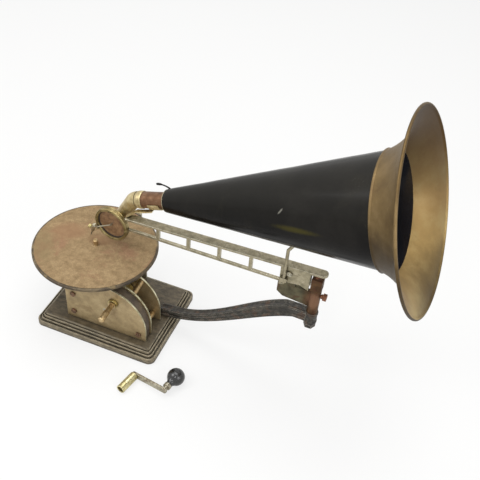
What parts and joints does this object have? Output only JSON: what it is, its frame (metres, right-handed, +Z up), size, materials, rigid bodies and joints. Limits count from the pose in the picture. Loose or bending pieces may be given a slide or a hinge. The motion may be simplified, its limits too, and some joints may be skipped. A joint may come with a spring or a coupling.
{
  "type": "gramophone",
  "caption": "Open-works disc gramophone with a moulded base, spring motor, turntable, curved support arm, swinging ladder arm, black horn with brass bell, and a loose crank.",
  "frame": {"origin": "on the turntable's axis, at the underside of the base board", "axes": "+X along the swinging arm towards the horn's bell, +Y away from the winding shaft, +Z up"},
  "size_m": [0.5488, 0.2572, 0.4521],
  "materials": {
    "base_wood": "dark stained wood under old paint and dirt, worn along the mouldings",
    "plate_brass": "tarnished olive brass with bright worn edges",
    "steel": "old bright steel, spotted",
    "dark_tin": "dark brown japanned sheet",
    "gear_brass": "cut brass, dull",
    "black_iron": "black japanned casting, chipped and dusty",
    "rusty_steel": "brown rust over steel",
    "crank_brass": "polished by use",
    "black_knob": "turned wood, black lacquer",
    "turntable_metal": "dull nickel worn to iron",
    "worn_felt": "faded felt with rust stains",
    "spring_steel": "blued steel, dull",
    "yoke_metal": "rusty casting",
    "dull_nickel": "thin nickel plate gone dull and yellow",
    "horn_black": "glossy black japanning over sheet steel",
    "bell_brass": "spun brass, darkened with lighter rubbed areas",
    "copper_tube": "bare copper-toned tube",
    "elbow_brass": "dull brass",
    "soundbox_brass": "tarnished plated brass",
    "mica": "brown mica sheet",
    "gasket_rubber": "hardened rubber"
  },
  "bodies": {
    "root": {"base_board": "base_wood", "front_plate": "plate_brass", "middle_plate": "plate_brass", "rear_plate": "plate_brass", "plate_pillars": "steel", "plate_screws": "steel", "plate_feet": "plate_brass", "base_screws": "steel", "dust_cover": "dark_tin", "plate_bushes": "gear_brass", "spindle_bearings": "gear_brass", "governor_brackets": "gear_brass", "click_spring": "steel", "brake_post": "steel", "speed_bracket": "gear_brass", "support_arm": "black_iron", "pivot_post": "rusty_steel", "post_nut": "black_iron", "crank_socket": "crank_brass", "crank_arm": "steel"},
    "crank_knob": {"crank_knob": "black_knob"},
    "turntable": {"turntable": "turntable_metal", "turntable_felt": "worn_felt", "spindle": "steel", "spindle_gear": "gear_brass", "worm_wheel": "gear_brass"},
    "drive": {"drive_arbor": "steel", "drive_wheel": "gear_brass"},
    "barrel": {"spring_barrel": "gear_brass", "barrel_cover": "gear_brass", "mainspring": "spring_steel"},
    "barrel_arbor": {"barrel_arbor": "steel", "winding_wheel": "gear_brass", "ratchet_wheel": "steel"},
    "winding_shaft": {"winding_shaft": "steel"},
    "click": {"click": "steel"},
    "governor": {"governor_shaft": "steel", "governor_collars": "gear_brass", "governor_springs": "spring_steel", "governor_weights": "gear_brass"},
    "speed_lever": {"speed_lever": "steel"},
    "speed_screw": {"speed_screw": "gear_brass"},
    "brake_lever": {"brake_lever": "steel"},
    "yoke": {"yoke": "yoke_metal"},
    "thumb_screw": {"thumb_screw": "rusty_steel"},
    "ladder_arm": {"ladder_arm": "dull_nickel", "hinge_screw": "steel", "horn_cradle": "dull_nickel", "horn_cone": "horn_black", "horn_bell": "bell_brass", "horn_tube": "copper_tube", "horn_elbow": "elbow_brass", "elbow_strap": "elbow_brass"},
    "soundbox": {"soundbox_case": "soundbox_brass", "soundbox_ring": "soundbox_brass", "diaphragm": "mica", "gaskets": "gasket_rubber", "stylus_bar": "steel", "needle": "spring_steel"},
    "needle_screw": {"needle_screw": "gear_brass"}
  },
  "joints": [
    {"name": "turntable_spin", "type": "hinge", "parent": "root", "child": "turntable", "pos_m": [0, 0, 0.124], "axis": [0, 0, 1], "continuous": true},
    {"name": "drive_spin", "type": "hinge", "parent": "root", "child": "drive", "pos_m": [0.016, -0.018, 0.09124], "axis": [0, 1, 0], "continuous": true},
    {"name": "barrel_spin", "type": "hinge", "parent": "root", "child": "barrel", "pos_m": [0.04, -0.02, 0.058], "axis": [0, 1, 0], "continuous": true},
    {"name": "governor_spin", "type": "hinge", "parent": "root", "child": "governor", "pos_m": [-0.02, 0.018, 0.052], "axis": [1, 0, 0], "continuous": true},
    {"name": "winding_spin", "type": "hinge", "parent": "root", "child": "barrel_arbor", "pos_m": [0.04, -0.044, 0.058], "axis": [0, 1, 0], "continuous": true},
    {"name": "winding_shaft_spin", "type": "hinge", "parent": "root", "child": "winding_shaft", "pos_m": [0.05493, -0.06, 0.07989], "axis": [0, 1, 0], "continuous": true},
    {"name": "click_pivot", "type": "hinge", "parent": "root", "child": "click", "pos_m": [0.029, -0.0423, 0.07705], "axis": [0, 1, 0], "range_deg": [0, 6]},
    {"name": "speed_screw_turn", "type": "hinge", "parent": "root", "child": "speed_screw", "pos_m": [-0.058, 0.05, 0.0515], "axis": [1, 0, 0], "range_deg": [0, 360]},
    {"name": "speed_lever_swing", "type": "hinge", "parent": "root", "child": "speed_lever", "pos_m": [-0.044, 0.036, 0.0515], "axis": [0, 0, 1], "range_deg": [-4, 0]},
    {"name": "brake_swing", "type": "hinge", "parent": "root", "child": "brake_lever", "pos_m": [0.05, 0.05, 0.1017], "axis": [0, 0, 1], "range_deg": [-8, 0]},
    {"name": "arm_swing", "type": "hinge", "parent": "root", "child": "yoke", "pos_m": [0.3195, 0.01, 0.15], "axis": [0, 0, 1], "range_deg": [-20, 60]},
    {"name": "thumb_screw_turn", "type": "hinge", "parent": "yoke", "child": "thumb_screw", "pos_m": [0.33, 0.01, 0.157], "axis": [1, 0, 0], "range_deg": [0, 360]},
    {"name": "arm_lift", "type": "hinge", "parent": "yoke", "child": "ladder_arm", "pos_m": [0.2826, 0.01, 0.1855], "axis": [0, 1, 0], "range_deg": [0, 5.5]},
    {"name": "soundbox_turn", "type": "hinge", "parent": "ladder_arm", "child": "soundbox", "pos_m": [0.0212, 0.008, 0.163], "axis": [0.1219, 0.9925, 0], "range_deg": [0, 120]},
    {"name": "needle_screw_turn", "type": "hinge", "parent": "soundbox", "child": "needle_screw", "pos_m": [-0.01034, 0.01288, 0.14107], "axis": [-0.9362, 0.115, 0.3322], "range_deg": [0, 360]},
    {"name": "crank_knob_spin", "type": "hinge", "parent": "root", "child": "crank_knob", "pos_m": [0.1613, -0.111, 0.0125], "axis": [0.2176, 0.976, 0], "continuous": true}
  ],
  "couplings": [
    {"joint": "drive_spin", "follows": "turntable_spin", "ratio": -0.33333},
    {"joint": "barrel_spin", "follows": "turntable_spin", "ratio": 0.057143},
    {"joint": "governor_spin", "follows": "turntable_spin", "ratio": 10},
    {"joint": "winding_shaft_spin", "follows": "winding_spin", "ratio": -3.4167},
    {"joint": "speed_lever_swing", "follows": "speed_screw_turn", "ratio": -0.011111}
  ]
}
